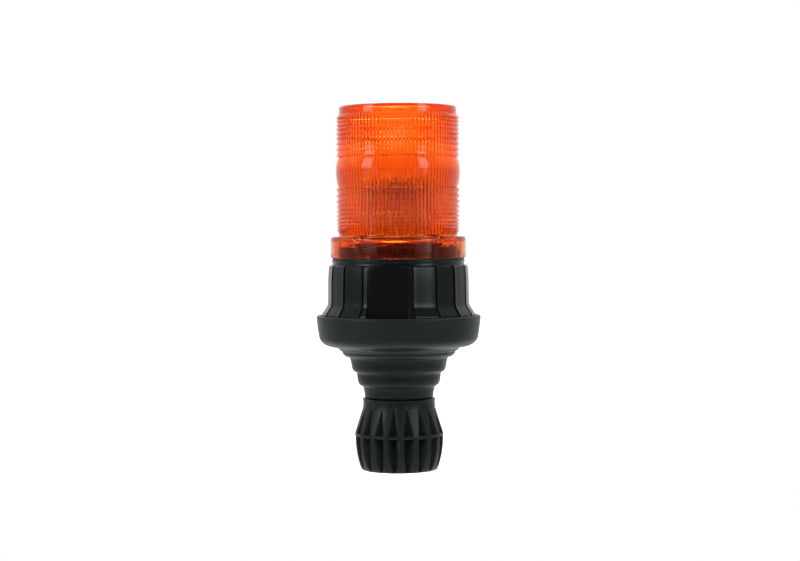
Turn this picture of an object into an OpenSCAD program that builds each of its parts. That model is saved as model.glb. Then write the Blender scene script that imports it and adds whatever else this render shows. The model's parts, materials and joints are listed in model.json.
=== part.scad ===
// Amber LED warning beacon on a flexible rubber boot, with a clamp knob for a 24 mm pole spigot.
// Millimetres. +Z is up, the origin is the centre of the knob's bottom face, and -Y is the front.

/* [Clamp knob] */
// Height of the knob
knob_h = 45.4; // [42:0.2:50]
// Radius of the knob's widest ring
knob_ring_r = 28.2; // [27:0.1:30]
// Height of the middle of that ring
knob_ring_z = 22.6; // [18:0.2:25]
// Radius of the plain rim at the top
knob_rim_r = 22.9; // [22.6:0.1:24]
// Number of grip ribs
knob_ribs = 18; // [12:1:24]
// Thread pitch of the knob
thread_pitch = 2; // [1:0.5:3]

/* [Spigot socket] */
// Radius of the bore that takes the spigot
spigot_bore_r = 12.25; // [12.1:0.05:12.4]
// Outside radius of the threaded tube
tube_r = 17; // [16.8:0.1:17.4]
// Height of the tube's lower end
tube_foot_z = 6; // [5:0.5:8]
// Height where the spigot's bore ends
bore_top_z = 52.4; // [50:0.2:53]
// Travel of the sprung centre contact
contact_travel = 2.5; // [1:0.5:2.5]

/* [Flexible boot] */
// Gap between the knob and the boot
boot_gap = 1; // [0.6:0.1:2]
// Thickness of the rubber
boot_wall = 3.2; // [2.5:0.1:4]
// Radius of the cup's rim
cup_r = 52; // [51:0.2:54]
// Height of the cup's rim above the floor
cup_rim_z = 97.8; // [96:0.2:100]

/* [Housing] */
// Radius of the housing's grip panels
housing_r = 44.6; // [44:0.2:46]
// Height of the top of the grip panels
panel_top_z = 129.8; // [126:0.2:132]
// Radius of the plain neck above the panels
neck_r = 42; // [41.5:0.1:42.5]
// Height of the neck's top
neck_top_z = 133.2; // [132.5:0.1:134]

/* [Lens] */
// Radius of the lens at its prism tips
lens_r = 39; // [38.5:0.1:40]
// Radius of the lens skirt
skirt_r = 42.8; // [42.4:0.1:43.5]
// Height of the lens skirt
skirt_h = 13.7; // [12:0.1:16]
// Height of the middle of the lens's clear belt
belt_z = 188.1; // [185:0.2:192]
// Height of the lens's top rim
lens_top_z = 229.6; // [226:0.2:234]
// Depth of the prism rings
prism_depth = 0.8; // [0.4:0.1:1.2]

/* [Hidden] */
$fn = 96;

// Running clearance of a shaft in a hole, and the gap between parts that only lie together
run_gap = 0.05;
lie_gap = 0.1;
eps = 0.01;

amber = "darkorange";
black_plastic = [0.1, 0.1, 0.11];
black_rubber = [0.16, 0.17, 0.17];
brass = [0.75, 0.6, 0.3];
steel = [0.7, 0.7, 0.72];

// Socket tube levels and radii
collet_top_z = tube_foot_z + 8;
collet_tip_r = 14.4;
tube_flange_z = 49.5;
tube_flange_r = 19.6;
tube_flange_h = 3;
tube_top_z = 62;
tube_top_r = 16;
relief_r = 12.7;
slot_w = 2;
slot_h = 20;

// Clamp knob levels
knob_floor_h = 2.6;
knob_mouth_r = 13.2;
knob_groove_r = 22.2;
knob_land_w = 2.5;
knob_bore_r = tube_r + run_gap;

// Electrical contacts
carrier_z = 53.8;
carrier_flange_h = 1.6;
carrier_roof_z = 65;
spring_room_r = 4.6;
spring_roof_z = 62;
stem_r = 2;
contact_tip_z = 52.8;
contact_head_r = 4;
contact_head_h = 3.4;
clip_h = 0.75;
stud_x = -10;

// Boot steps from the bottom up: [radius at the foot, radius at the top, foot height, corner rounding]
boot_z = knob_h + boot_gap;
boot_steps = [
    [21.6, 22.3, boot_z, 0.6],
    [26.3, 26.6, boot_z + 6.8, 3],
    [30.2, 30.6, boot_z + 15.9, 3],
    [35.2, 35.8, boot_z + 24.6, 2.6],
    [37.8, 38.6, boot_z + 28.2, 1.4],
    [cup_r - 1.4, cup_r, boot_z + 31.6, 8]
];
cup_foot_z = boot_z + 31.6;
cup_wall = 3;
boot_bond_z = boot_z + 6.8 + boot_wall;

// Lead sleeve, grommet and leads
sleeve_z = 71;
sleeve_h = 6.5;
sleeve_r = 4.5;
lead_r = 0.9;
lead_x = 1.6;

// Base cover and the driver board that stands on it
cover_z = cup_foot_z + boot_wall + lie_gap;
cover_h = 3.4;
cover_r = 45.4;
cover_top_z = cover_z + cover_h;
grommet_hole_r = 6;
post_r = 3.2;
post_ring_r = 30;
board_z = 100;
board_t = 1.6;
board_r = 36;
board_top_z = board_z + board_t;

// Housing
housing_foot_z = cover_z;
housing_wall = 3.4;
housing_in_r = cover_r + 0.3;
flare_r = 48.9;
flare_z = cup_rim_z + 0.7;
crease_z = flare_z + 5.9;
groove_w = 2.2;
groove_d = 1.3;
wide_flat_d = 42.8;
wide_flat_w = 25.8;
panel_pitch = 20;
panel_phase = 11;
boss_r = 4;
boss_ring_r = 42;
boss_h = 11;
boss_phase = 51;
collar_r = 38;
collar_in_r = 35.5;
collar_top_z = neck_top_z + 8;
ledge_r = 29;
ledge_z = collar_top_z - 8;
deck_z = collar_top_z - 3.7;

// Bayonet: the housing's lugs and the lens's lugs
seal_h = 1;
skirt_z = neck_top_z + seal_h;
lug_out_r = 39.9;
lug_under_z = skirt_z + 4.3;
lug_arc = 26;
lug_end = -4;
lug_rise = 1.2;
lug_slope = 10.6;
lens_lug_arc = 20;
lens_lug_h = 2.8;
lens_lug_in_r = 38.3;
turn_release = 25;

// LED module
plinth_r = 29;
plinth_h = 3.3;
deck_h = 2.5;
plinth_z = deck_z + deck_h + plinth_h;
pedestal_r = 15.5;
led_board_z = belt_z - 4.1;
led_board_r = 19;
led_ring_r = 13.5;
led_count = 8;

// Lens
lens_in_r = 36;
skirt_in_r = 40.5;
skirt_top_z = skirt_z + skirt_h;
belt_half = 9.9;
belt_crown = 1.5;
belt_foot_r = 37.9;
prism_pitch = 3.9;
prism_shrink = 0.925;
upper_prisms = 9;
lower_prisms = 10;
lens_neck_r = 37.4;
rim_r = 37.1;
lobe_count = 5;
lobe_dip = 1.5;

// Points on an arc about [cx, cz], from angle a0 to a1
function arc(cx, cz, r, a0, a1, n = 6) =
    [for (i = [0:n]) let (a = a0 + (a1 - a0) * i / n) [cx + r * cos(a), cz + r * sin(a)]];

// Turns its children from +X to an angle round the front, counted to the right from -Y
module at_front(angle) {
    rotate([0, 0, angle - 90]) children();
}

// A ring or disc from radius r0 to r1
module ring(r1, r0, z, h) {
    translate([0, 0, z]) difference() {
        cylinder(r = r1, h = h);
        if (r0 > 0) translate([0, 0, -1]) cylinder(r = r0, h = h + 2);
    }
}

// A block that spans an arc of a ring, from the angle start to end round the front
module ring_sector(r1, r0, z, h, start, end) {
    at_front(start) rotate_extrude(angle = end - start)
        translate([r0, z]) square([r1 - r0, h]);
}

// Children repeated evenly round Z, on a circle of the given radius
module around(count, radius, phase = 0) {
    for (i = [0:count - 1]) at_front(phase + i * 360 / count) translate([radius, 0, 0]) children();
}

// A pan-head screw: its head stands on z and its shank goes down
module pan_screw(z, head_r, head_h, shank_r, shank_l) {
    translate([0, 0, z]) difference() {
        union() {
            rotate_extrude() polygon(concat(
                [[0, 0], [head_r, 0]],
                arc(head_r - head_h * 0.6, head_h * 0.4, head_h * 0.6, 0, 90, 4),
                [[0, head_h]]));
            translate([0, 0, -shank_l]) cylinder(r = shank_r, h = shank_l + eps);
        }
        for (a = [0, 90]) rotate([0, 0, a])
            translate([-head_r * 0.55, -0.35, head_h * 0.45]) cube([head_r * 1.1, 0.7, head_h]);
    }
}

// A tube swept along a list of points, with sides flat faces round it
module swept_tube(path, radius, sides = 8) {
    last = len(path) - 1;
    function heading(i) = let (d = path[min(i + 1, last)] - path[max(i - 1, 0)]) d / norm(d);
    function ring_at(i) =
        let (t = heading(i), u = cross([0, 1, 0], t), a = u / norm(u), b = cross(t, a))
        [for (k = [0:sides - 1]) path[i] + radius * (cos(k * 360 / sides) * a + sin(k * 360 / sides) * b)];
    points = [for (i = [0:last]) each ring_at(i)];
    walls = [for (i = [0:last - 1], k = [0:sides - 1])
        [i * sides + k, i * sides + (k + 1) % sides, (i + 1) * sides + (k + 1) % sides, (i + 1) * sides + k]];
    start = [for (k = [sides - 1:-1:0]) k];
    end = [for (k = [0:sides - 1]) last * sides + k];
    // OpenSCAD wants each face clockwise as seen from outside
    polyhedron(points, [for (f = concat(walls, [start, end])) [for (j = [len(f) - 1:-1:0]) f[j]]]);
}

// A smooth curve through hand-chosen points: Catmull-Rom, with steps parts per span
function smooth_path(p, steps = 5) =
    let (n = len(p) - 1)
    concat([for (i = [0:n - 1], s = [0:steps - 1])
        let (t = s / steps, a = p[max(i - 1, 0)], b = p[i], c = p[i + 1], d = p[min(i + 2, n)])
        0.5 * (2 * b + (c - a) * t + (2 * a - 5 * b + 4 * c - d) * t * t
            + (3 * b - a - 3 * c + d) * t * t * t)],
        [p[n]]);

// ---- Clamp knob and cone ----

// The knob's outline: rounded foot, belly, ring, and a straight taper to the rim
function knob_outline() = concat(
    [[0, 0], [knob_rim_r + 0.3, 0]],
    arc(knob_rim_r + 0.3, 2.6, 2.6, -70, -15, 4),
    [for (i = [0:6]) let (t = i / 6) [knob_ring_r - 2.4 * pow(1 - t, 2.2), 4 + (knob_ring_z - 4) * t]],
    [[knob_rim_r + 1.2, knob_ring_z + 15.2],
    [knob_rim_r, knob_ring_z + 19.8],
    [knob_rim_r, knob_h],
    [0, knob_h]]);

// Plan of the ribs: lands at the ring, with V grooves between them
function rib_plan() =
    let (step = 360 / knob_ribs, land = asin(knob_land_w / 2 / knob_ring_r), reach = knob_ring_r + 2)
    [for (i = [0:knob_ribs - 1], p = [
            [knob_groove_r, -step / 2 + 1],
            [reach, -land],
            [reach, land],
            [knob_groove_r, step / 2 - 1]])
        let (a = i * step + p[1]) [p[0] * cos(a), p[0] * sin(a)]];

module clamp_knob() {
    color(black_plastic) difference() {
        union() {
            intersection() {
                rotate_extrude() polygon(knob_outline());
                at_front(2.5) linear_extrude(height = knob_h) polygon(rib_plan());
            }
            ring(knob_ring_r, 0, knob_ring_z - 0.9, 1.8);
            ring(knob_rim_r, 0, knob_ring_z + 17.8, knob_h - knob_ring_z - 17.8);
        }
        translate([0, 0, knob_floor_h]) cylinder(r = knob_bore_r, h = knob_h);
        translate([0, 0, -1]) cylinder(r = knob_mouth_r, h = knob_h);
    }
}

// The cone rides on the knob's floor and squeezes the collet as it rises
module clamp_cone() {
    foot = knob_floor_h + lie_gap;
    slope = (tube_r - 0.6 - collet_tip_r) / (collet_top_z - tube_foot_z);
    top = collet_top_z - 2.2;
    tip_gap = 0.25;
    color("gainsboro") rotate_extrude() polygon([
        [knob_mouth_r + 0.6, foot],
        [tube_r - 0.3, foot],
        [tube_r - 0.3, top],
        [collet_tip_r + slope * (top - tube_foot_z) + tip_gap, top],
        [collet_tip_r + tip_gap, tube_foot_z - tip_gap],
        [knob_mouth_r + 0.6, tube_foot_z - tip_gap]]);
}

// ---- Socket tube and contacts ----

module socket_tube() {
    color([0.2, 0.2, 0.22]) difference() {
        rotate_extrude() polygon([
            [spigot_bore_r, tube_foot_z],
            [collet_tip_r, tube_foot_z],
            [tube_r - 0.6, collet_top_z],
            [tube_r, collet_top_z + 0.6],
            [tube_r, tube_flange_z],
            [tube_flange_r, tube_flange_z],
            [tube_flange_r, tube_flange_z + tube_flange_h],
            [tube_top_r, tube_flange_z + tube_flange_h],
            [tube_top_r, tube_top_z],
            [relief_r, tube_top_z],
            [relief_r, bore_top_z],
            [spigot_bore_r, bore_top_z]]);
        for (a = [0:45:135]) rotate([0, 0, a + 22.5])
            translate([-tube_r - 1, -slot_w / 2, tube_foot_z - 1]) cube([2 * tube_r + 2, slot_w, slot_h + 1]);
    }
}

module contact_carrier() {
    color("ivory") difference() {
        rotate_extrude() polygon([
            [0, carrier_z],
            [relief_r - run_gap, carrier_z],
            [relief_r - run_gap, tube_top_z + lie_gap / 2],
            [tube_top_r - 0.2, tube_top_z + lie_gap / 2],
            [tube_top_r - 0.2, tube_top_z + carrier_flange_h],
            [7, tube_top_z + carrier_flange_h],
            [7, carrier_roof_z],
            [0, carrier_roof_z]]);
        translate([0, 0, carrier_z - 1]) cylinder(r = spring_room_r, h = spring_roof_z - carrier_z + 1);
        translate([0, 0, carrier_z]) cylinder(r = stem_r + run_gap, h = 20);
        translate([stud_x, 0, carrier_z - 1]) cylinder(r = 1.05, h = 20);
    }
}

module centre_contact() {
    head_top = contact_tip_z + contact_head_h;
    clip_z = carrier_roof_z + run_gap;
    color(brass) rotate_extrude() polygon(concat(
        [[0, contact_tip_z]],
        arc(contact_head_r - 1.2, contact_tip_z + 1.2, 1.2, -90, 0, 4),
        [[contact_head_r, head_top],
        [stem_r, head_top],
        [stem_r, clip_z],
        [3.2, clip_z],
        [3.2, clip_z + clip_h],
        [stem_r - 0.4, clip_z + clip_h],
        [stem_r - 0.4, clip_z + clip_h + 0.4],
        [0, clip_z + clip_h + 0.4]]));
}

// Compression spring round the contact's stem
module contact_spring() {
    wire = 0.35;
    coil_r = 3.2;
    turns = 4;
    foot = contact_tip_z + contact_head_h + wire + lie_gap;
    rise = spring_roof_z - lie_gap - wire - foot;
    per_turn = 16;
    color(steel) swept_tube([for (i = [0:turns * per_turn]) let (a = i * 360 / per_turn)
        [coil_r * cos(a), coil_r * sin(a), foot + rise * i / (turns * per_turn)]], wire, 6);
}

module ring_contact() {
    color(brass) union() {
        ring(relief_r - 0.3, 8.4, carrier_z - 0.8 - eps, 0.8);
        translate([stud_x, 0, carrier_z - 0.4]) cylinder(r = 1, h = carrier_roof_z - carrier_z + 1.4);
    }
}

// ---- Flexible boot and leads ----

// One boot step: out along its foot, round the corner, and up its wall
function step_points(s, top) = concat(
    arc(s[0] - s[3], s[2] + s[3], s[3], -90, 0, 5),
    [[s[1], top]]);

function boot_outside() = [for (i = [0:len(boot_steps) - 1])
    each step_points(boot_steps[i], i < len(boot_steps) - 1 ? boot_steps[i + 1][2] : cup_rim_z - 0.8)];

// Inside of the boot, from the cup's rim down to the bonded neck
function boot_inside() = concat(
    [[cup_r - 0.8, cup_rim_z], [cup_r - cup_wall, cup_rim_z], [cup_r - cup_wall - 0.4, cover_z - lie_gap]],
    [for (i = [len(boot_steps) - 2:-1:2]) each [
        [boot_steps[i][1] - boot_wall, boot_steps[i + 1][2] + boot_wall],
        [boot_steps[i][0] - boot_wall, boot_steps[i][2] + boot_wall]]],
    [[boot_steps[1][1] - boot_wall, boot_steps[2][2] + boot_wall],
    [boot_steps[1][0] - boot_wall, boot_bond_z],
    [tube_top_r + run_gap, boot_bond_z],
    [tube_top_r + run_gap, tube_flange_z + tube_flange_h + run_gap],
    [tube_flange_r + run_gap, tube_flange_z + tube_flange_h + run_gap],
    [tube_flange_r + run_gap, tube_flange_z - run_gap],
    [tube_r + run_gap, tube_flange_z - run_gap],
    [tube_r + run_gap, boot_z]]);

module flex_boot() {
    color(black_rubber) rotate_extrude() polygon(concat(boot_outside(), boot_inside()));
}

module lead_sleeve() {
    color("dimgray") ring(sleeve_r, sleeve_r - 1, sleeve_z, sleeve_h);
}

// Routes of the two leads: contacts, sleeve, grommet, and the underside of the driver board
positive_route = [[0, 0, 66.4], [0.8, 0, 69], [lead_x, 0, 73], [lead_x, 0, 80], [lead_x, 0, 88], [3, 0, 93],
                  [6.4, 0, 96], [8, 0, board_z - 0.5]];
negative_route = [[stud_x, 0, 66.2], [-9.2, 0, 68], [-5.2, 0, 68.9], [-2.2, 0, 70.6], [-lead_x, 0, 74],
                  [-lead_x, 0, 80], [-lead_x, 0, 88], [-3, 0, 93], [-6.4, 0, 96], [-8, 0, board_z - 0.5]];

module lead_positive() {
    color("firebrick") swept_tube(smooth_path(positive_route), lead_r);
}

module lead_negative() {
    color([0.08, 0.08, 0.08]) swept_tube(smooth_path(negative_route), lead_r);
}

module lead_grommet() {
    color(black_rubber) rotate_extrude() polygon([
        [2.8, cover_z - 1.6],
        [grommet_hole_r + 1.4, cover_z - 1.6],
        [grommet_hole_r + 1.4, cover_z - run_gap],
        [grommet_hole_r - run_gap, cover_z - run_gap],
        [grommet_hole_r - run_gap, cover_top_z + run_gap],
        [grommet_hole_r + 1.4, cover_top_z + run_gap],
        [grommet_hole_r + 0.6, cover_top_z + 1.6],
        [2.8, cover_top_z + 1.6]]);
}

// ---- Base cover, seal and screws ----

module base_cover() {
    seal_w = 2.2;
    color(black_plastic) difference() {
        union() {
            ring(cover_r, grommet_hole_r, cover_z, cover_h);
            around(3, post_ring_r, 30) translate([0, 0, cover_top_z - eps])
                cylinder(r = post_r, h = board_z - cover_top_z);
        }
        ring(cover_r + 1, cover_r - 1.6, cover_z + 0.7, seal_w);
        around(3, post_ring_r, 30) translate([0, 0, cover_top_z + 1]) cylinder(r = 1.25, h = board_z);
        around(3, boss_ring_r - 1, boss_phase) translate([0, 0, cover_z - 1]) {
            cylinder(r = 1.8, h = cover_h + 2);
            cylinder(r = 3.4, h = 1.6);
        }
    }
}

module cover_seal() {
    color([0.3, 0.3, 0.3]) rotate_extrude()
        translate([cover_r - 0.75, cover_z + 1.8]) circle(r = 0.8, $fn = 24);
}

module cover_screws() {
    color(steel) around(3, boss_ring_r - 1, boss_phase) rotate([180, 0, 0])
        pan_screw(-cover_z - 0.6 + eps, 3, 0.5, 1.4, 11);
}

// ---- Housing ----

function housing_outline(inset) = [
    [flare_r - 0.5 - inset, housing_foot_z],
    [flare_r - 0.3 - inset, cup_rim_z - 1],
    [flare_r - inset, flare_z],
    [housing_r + 0.5 - inset, crease_z],
    [housing_r - inset, crease_z + 3],
    [housing_r - 0.5 - inset, panel_top_z - 1.6],
    [neck_r + 1.2 - inset, panel_top_z]];

// Grooves between the grip panels: three wide panels stay whole, one of them at the front
function is_groove(i) = i % 6 != 5;

// The three wide panels are flat cuts that run straight down through the flare
module wide_flats() {
    around(3, wide_flat_d, panel_phase - panel_pitch) translate([0, -wide_flat_w / 2, flare_z - 5])
        cube([12, wide_flat_w, panel_top_z - flare_z + 6]);
}

module housing_grooves() {
    for (i = [0:17]) if (is_groove(i)) at_front(panel_phase + i * panel_pitch)
        translate([housing_r - 6, -groove_w / 2, flare_z - 0.3])
            cube([12, groove_w, panel_top_z - flare_z + 1.3]);
}

module housing_shell() {
    difference() {
        union() {
            difference() {
                rotate_extrude() polygon(concat(
                    [[0, housing_foot_z]], housing_outline(0), [[0, panel_top_z]]));
                difference() {
                    housing_grooves();
                    rotate_extrude() polygon(concat(
                        [[0, housing_foot_z]], housing_outline(groove_d), [[0, panel_top_z]]));
                }
                wide_flats();
            }
            translate([0, 0, panel_top_z - 1]) cylinder(r = neck_r, h = neck_top_z - panel_top_z + 1);
            translate([0, 0, neck_top_z - 1]) cylinder(r = collar_r, h = collar_top_z - neck_top_z + 1);
            bayonet_lugs();
        }
        housing_hollow();
    }
}

// Bosses inside the shell's foot that take the cover's screws
module cover_bosses() {
    intersection() {
        around(3, boss_ring_r, boss_phase) translate([0, 0, cover_top_z + lie_gap])
            cylinder(r = boss_r, h = boss_h);
        cylinder(r = housing_in_r + 0.5, h = panel_top_z);
    }
}

module housing() {
    color(black_plastic) difference() {
        union() {
            housing_shell();
            cover_bosses();
        }
        around(3, boss_ring_r - 1, boss_phase) translate([0, 0, cover_top_z - 1])
            cylinder(r = 1.45, h = 10.5);
    }
}

module housing_hollow() {
    rotate_extrude() polygon([
        [0, housing_foot_z - 1],
        [housing_in_r, housing_foot_z - 1],
        [housing_in_r, cover_top_z + 2],
        [housing_r - housing_wall, cover_top_z + 8],
        [housing_r - housing_wall - 0.4, panel_top_z - 4],
        [ledge_r + 7, ledge_z - 1.5],
        [ledge_r, ledge_z],
        [ledge_r, deck_z],
        [collar_in_r, deck_z],
        [collar_in_r, collar_top_z + 1],
        [0, collar_top_z + 1]]);
    around(3, 32.2, 57) translate([0, 0, ledge_z - 4]) cylinder(r = 1.25, h = 12);
}

// Three lugs with a sloping top and an end stop, which hold the lens's lugs down
module bayonet_lugs() {
    for (k = [0:2]) {
        end = lug_end + 120 * k;
        difference() {
            ring_sector(lug_out_r, collar_r - 1, lug_under_z, collar_top_z - lug_under_z + lug_rise,
                end - lug_arc, end);
            at_front(end) translate([collar_r - 18, 0, collar_top_z + lug_rise]) rotate([lug_slope, 0, 0])
                translate([0, -40, 0]) cube([30, 80, 10]);
        }
        ring_sector(lug_out_r, collar_r - 1, skirt_z + 0.4, lug_under_z - skirt_z + 1, end - lug_arc,
            end - lug_arc + 1.6);
    }
}

// ---- Driver board ----

module driver_board() {
    color("darkgreen") difference() {
        ring(board_r, 0, board_z + lie_gap / 2, board_t);
        around(3, post_ring_r, 30) cylinder(r = 1.7, h = board_z + 5);
        for (x = [-2, 2]) translate([x, 5, 0]) cylinder(r = 0.8, h = board_z + 5);
    }
}

module board_capacitors() {
    top = board_top_z + lie_gap;
    color("midnightblue") for (p = [[-14, -12], [14, -12]]) translate([p[0], p[1], top])
        rotate_extrude()
            polygon([[0, 0], [5, 0], [5, 1.6], [4.6, 2.1], [5, 2.6], [5, 15.4], [4.4, 16], [0, 16]]);
}

module board_inductor() {
    top = board_top_z + lie_gap;
    color([0.25, 0.25, 0.27]) translate([0, -20, top]) union() {
        cylinder(r = 7, h = 2);
        cylinder(r = 5, h = 9);
        translate([0, 0, 7]) cylinder(r = 7, h = 2);
    }
}

module board_chips() {
    top = board_top_z + lie_gap;
    color([0.12, 0.12, 0.12]) {
        translate([-16, 6, top]) cube([9, 7, 1.8]);
        translate([8, 6, top]) cube([10, 9, 2.3]);
        translate([-4, 16, top]) cube([8, 5, 1.6]);
        for (i = [0:5]) translate([-15 + i * 5.6, -1, top]) cube([3.2, 1.6, 1]);
    }
}

module board_screws() {
    color(steel) around(3, post_ring_r, 30) pan_screw(board_top_z + lie_gap, 2.8, 1.9, 1.2, 9);
}

module led_leads() {
    lift = board_top_z + lie_gap;
    color("orangered") for (x = [-2, 2]) translate([x, 5, lift])
        cylinder(r = 0.7, h = led_board_z - lie_gap - lift, $fn = 24);
}

// ---- LED module ----

module chassis_deck() {
    color(black_plastic) difference() {
        union() {
            ring(collar_in_r - 0.2, 0, deck_z + lie_gap / 2, deck_h);
            ring(plinth_r, 0, deck_z + deck_h - eps, plinth_h);
        }
        translate([0, 4.5, deck_z - 1]) cylinder(r = 4, h = 20);
        around(3, 32.2, 57) translate([0, 0, deck_z - 1]) cylinder(r = 1.5, h = 10);
        around(3, 9.5, 150) translate([0, 0, deck_z + 2]) cylinder(r = 1.2, h = 20);
    }
}

module deck_screws() {
    color(steel) around(3, 32.2, 57) pan_screw(deck_z + deck_h + lie_gap, 2.6, 1.8, 1.2, 6.5);
}

// Finned aluminium post that carries the LED board at the height of the lens's clear belt
module led_pedestal() {
    foot = plinth_z + lie_gap;
    top = led_board_z - lie_gap / 2;
    fins = 16;
    color([0.72, 0.72, 0.74]) difference() {
        union() {
            ring(pedestal_r + 2.5, 0, foot, 2.4);
            ring(9.6, 0, foot, top - foot);
            around(fins, 12.2) translate([-3.3, -0.6, foot + 2.3]) cube([6.6, 1.2, top - foot - 4.8]);
            ring(pedestal_r + 2.5, 0, top - 2.6, 2.6);
        }
        translate([0, 5, foot - 1]) cylinder(r = 3.4, h = 60);
        translate([0, 0, top - 8]) cylinder(r = 1.5, h = 20);
    }
}

module led_board() {
    color("whitesmoke") difference() {
        ring(led_board_r, 0, led_board_z, board_t);
        cylinder(r = 1.7, h = led_board_z + 5);
        for (x = [-2, 2]) translate([x, 5, led_board_z - 1]) cylinder(r = 0.5, h = 1.6);
    }
}

module led_chips() {
    side = 3.5;
    base = led_board_z + board_t + eps;
    color("gold") around(led_count, led_ring_r) translate([0, 0, base]) union() {
        translate([-side / 2, -side / 2, 0]) cube([side, side, 0.8]);
        translate([0, 0, 0.7]) intersection() {
            translate([0, 0, -1.1]) sphere(r = 1.9, $fn = 48);
            cylinder(r = 1.5, h = 3);
        }
    }
}

module led_screw() {
    color(steel) pan_screw(led_board_z + board_t + lie_gap, 4, 2.8, 1.45, 9);
}

// ---- Lens ----

module lens_seal() {
    color([0.2, 0.2, 0.2]) ring(neck_r - 0.4, collar_r + lie_gap, neck_top_z + eps, seal_h - 2 * eps);
}

// Height of the start of prism number i, counted from the belt's edge
function prism_start(i) = prism_pitch * (1 - pow(prism_shrink, i)) / (1 - prism_shrink);

// Each prism ring has its tip on the side of the belt and slopes in away from it
function prisms(count, side) =
    [for (i = [0:count - 1]) each [
        [lens_r - 0.15, belt_z + side * (belt_half + prism_start(i) + 0.25)],
        [lens_r - prism_depth, belt_z + side * (belt_half + prism_start(i + 1) - 0.05)]]];

function reversed(list) = [for (i = [len(list) - 1:-1:0]) list[i]];

// The belt's convex outside, from its foot to its top
function belt_curve() = [for (i = [-6:6])
    [belt_foot_r + belt_crown * (1 - pow(i / 6, 2)), belt_z + belt_half * i / 6]];

function lens_outside() = concat(
    [[skirt_r - 0.3, skirt_z], [skirt_r, skirt_z + 0.6]],
    arc(skirt_r - 1.8, skirt_top_z - 1.8, 1.8, 0, 90, 5),
    [[lens_neck_r, skirt_top_z]],
    reversed(prisms(lower_prisms, -1)),
    belt_curve(),
    prisms(upper_prisms, 1),
    [[rim_r, belt_z + belt_half + prism_start(upper_prisms) + 0.4], [rim_r, lens_top_z - 0.6],
    [rim_r - 0.6, lens_top_z], [rim_r - 3, lens_top_z], [rim_r - 3.6, lens_top_z - 1.8]]);

function lens_inside() = [
    [0, lens_top_z - 1.8],
    [0, lens_top_z - 4.4],
    [lens_in_r - 2, lens_top_z - 4.4],
    [lens_in_r, lens_top_z - 6.4],
    [lens_in_r, skirt_top_z - 2.6],
    [skirt_in_r - 1, skirt_top_z - 2.6],
    [skirt_in_r, skirt_top_z - 3.4],
    [skirt_in_r, skirt_z]];

module lens() {
    color(amber, 0.7) {
        difference() {
            rotate_extrude() polygon(concat(lens_outside(), lens_inside()));
            around(lobe_count, skirt_r + 12 - lobe_dip, 36)
                translate([0, 0, skirt_z - 1]) cylinder(r = 12, h = skirt_h + 2);
        }
        for (k = [0:2]) {
            start = lug_end - lug_arc + 2.2 + 120 * k;
            ring_sector(skirt_in_r + 0.3, lens_lug_in_r, lug_under_z - 0.2 - lens_lug_h, lens_lug_h,
                start, start + lens_lug_arc);
        }
    }
}

clamp_knob();
clamp_cone();
socket_tube();
contact_carrier();
centre_contact();
contact_spring();
ring_contact();
flex_boot();
lead_sleeve();
lead_positive();
lead_negative();
lead_grommet();
base_cover();
cover_seal();
cover_screws();
housing();
driver_board();
board_capacitors();
board_inductor();
board_chips();
board_screws();
led_leads();
chassis_deck();
deck_screws();
led_pedestal();
led_board();
led_chips();
led_screw();
lens_seal();
lens();
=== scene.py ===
import json
import math

import bpy
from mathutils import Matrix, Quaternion, Vector


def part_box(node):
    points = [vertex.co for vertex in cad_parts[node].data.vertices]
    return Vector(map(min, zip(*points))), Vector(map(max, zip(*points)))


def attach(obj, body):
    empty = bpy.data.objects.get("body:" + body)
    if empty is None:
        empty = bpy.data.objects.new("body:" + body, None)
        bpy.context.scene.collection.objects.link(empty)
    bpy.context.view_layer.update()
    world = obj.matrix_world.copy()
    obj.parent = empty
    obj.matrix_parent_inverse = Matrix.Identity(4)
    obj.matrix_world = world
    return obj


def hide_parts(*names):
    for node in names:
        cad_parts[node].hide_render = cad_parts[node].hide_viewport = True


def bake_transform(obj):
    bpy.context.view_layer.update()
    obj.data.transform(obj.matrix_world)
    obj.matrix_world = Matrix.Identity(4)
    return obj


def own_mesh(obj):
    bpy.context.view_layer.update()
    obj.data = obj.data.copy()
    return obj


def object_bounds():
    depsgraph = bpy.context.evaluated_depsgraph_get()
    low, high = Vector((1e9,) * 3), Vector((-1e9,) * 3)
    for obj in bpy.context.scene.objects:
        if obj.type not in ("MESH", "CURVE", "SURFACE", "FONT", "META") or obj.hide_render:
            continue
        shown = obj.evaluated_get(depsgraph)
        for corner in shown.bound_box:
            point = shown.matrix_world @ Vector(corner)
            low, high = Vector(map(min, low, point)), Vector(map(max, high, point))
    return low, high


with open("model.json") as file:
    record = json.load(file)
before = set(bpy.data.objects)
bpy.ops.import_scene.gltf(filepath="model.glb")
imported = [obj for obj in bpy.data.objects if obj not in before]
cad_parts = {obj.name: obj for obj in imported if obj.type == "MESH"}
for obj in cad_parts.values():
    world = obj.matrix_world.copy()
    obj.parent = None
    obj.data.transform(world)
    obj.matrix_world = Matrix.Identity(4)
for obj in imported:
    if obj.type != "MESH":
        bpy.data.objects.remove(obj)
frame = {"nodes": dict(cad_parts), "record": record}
cad_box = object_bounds()
nodes = frame["nodes"]
scene = bpy.context.scene

# ------------------------------------------------------------------ places taken from the CAD frame, in mm


def low(node, axis=2):
    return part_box(node)[0][axis] * 1000


def high(node, axis=2):
    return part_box(node)[1][axis] * 1000


KNOB_H = high("clamp_knob")
RING_R = high("clamp_knob", 0)
BOOT_Z = low("flex_boot")
CUP_Z = high("flex_boot")
CUP_R = high("flex_boot", 0)
NECK_Z = low("lens_seal")
COLLAR_Z = NECK_Z + 8
SKIRT_Z = low("lens")
TOP_Z = high("lens")
LED_Z = high("led_board")
FOOT_Z = low("housing")

# ------------------------------------------------------------------ mesh helpers


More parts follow.
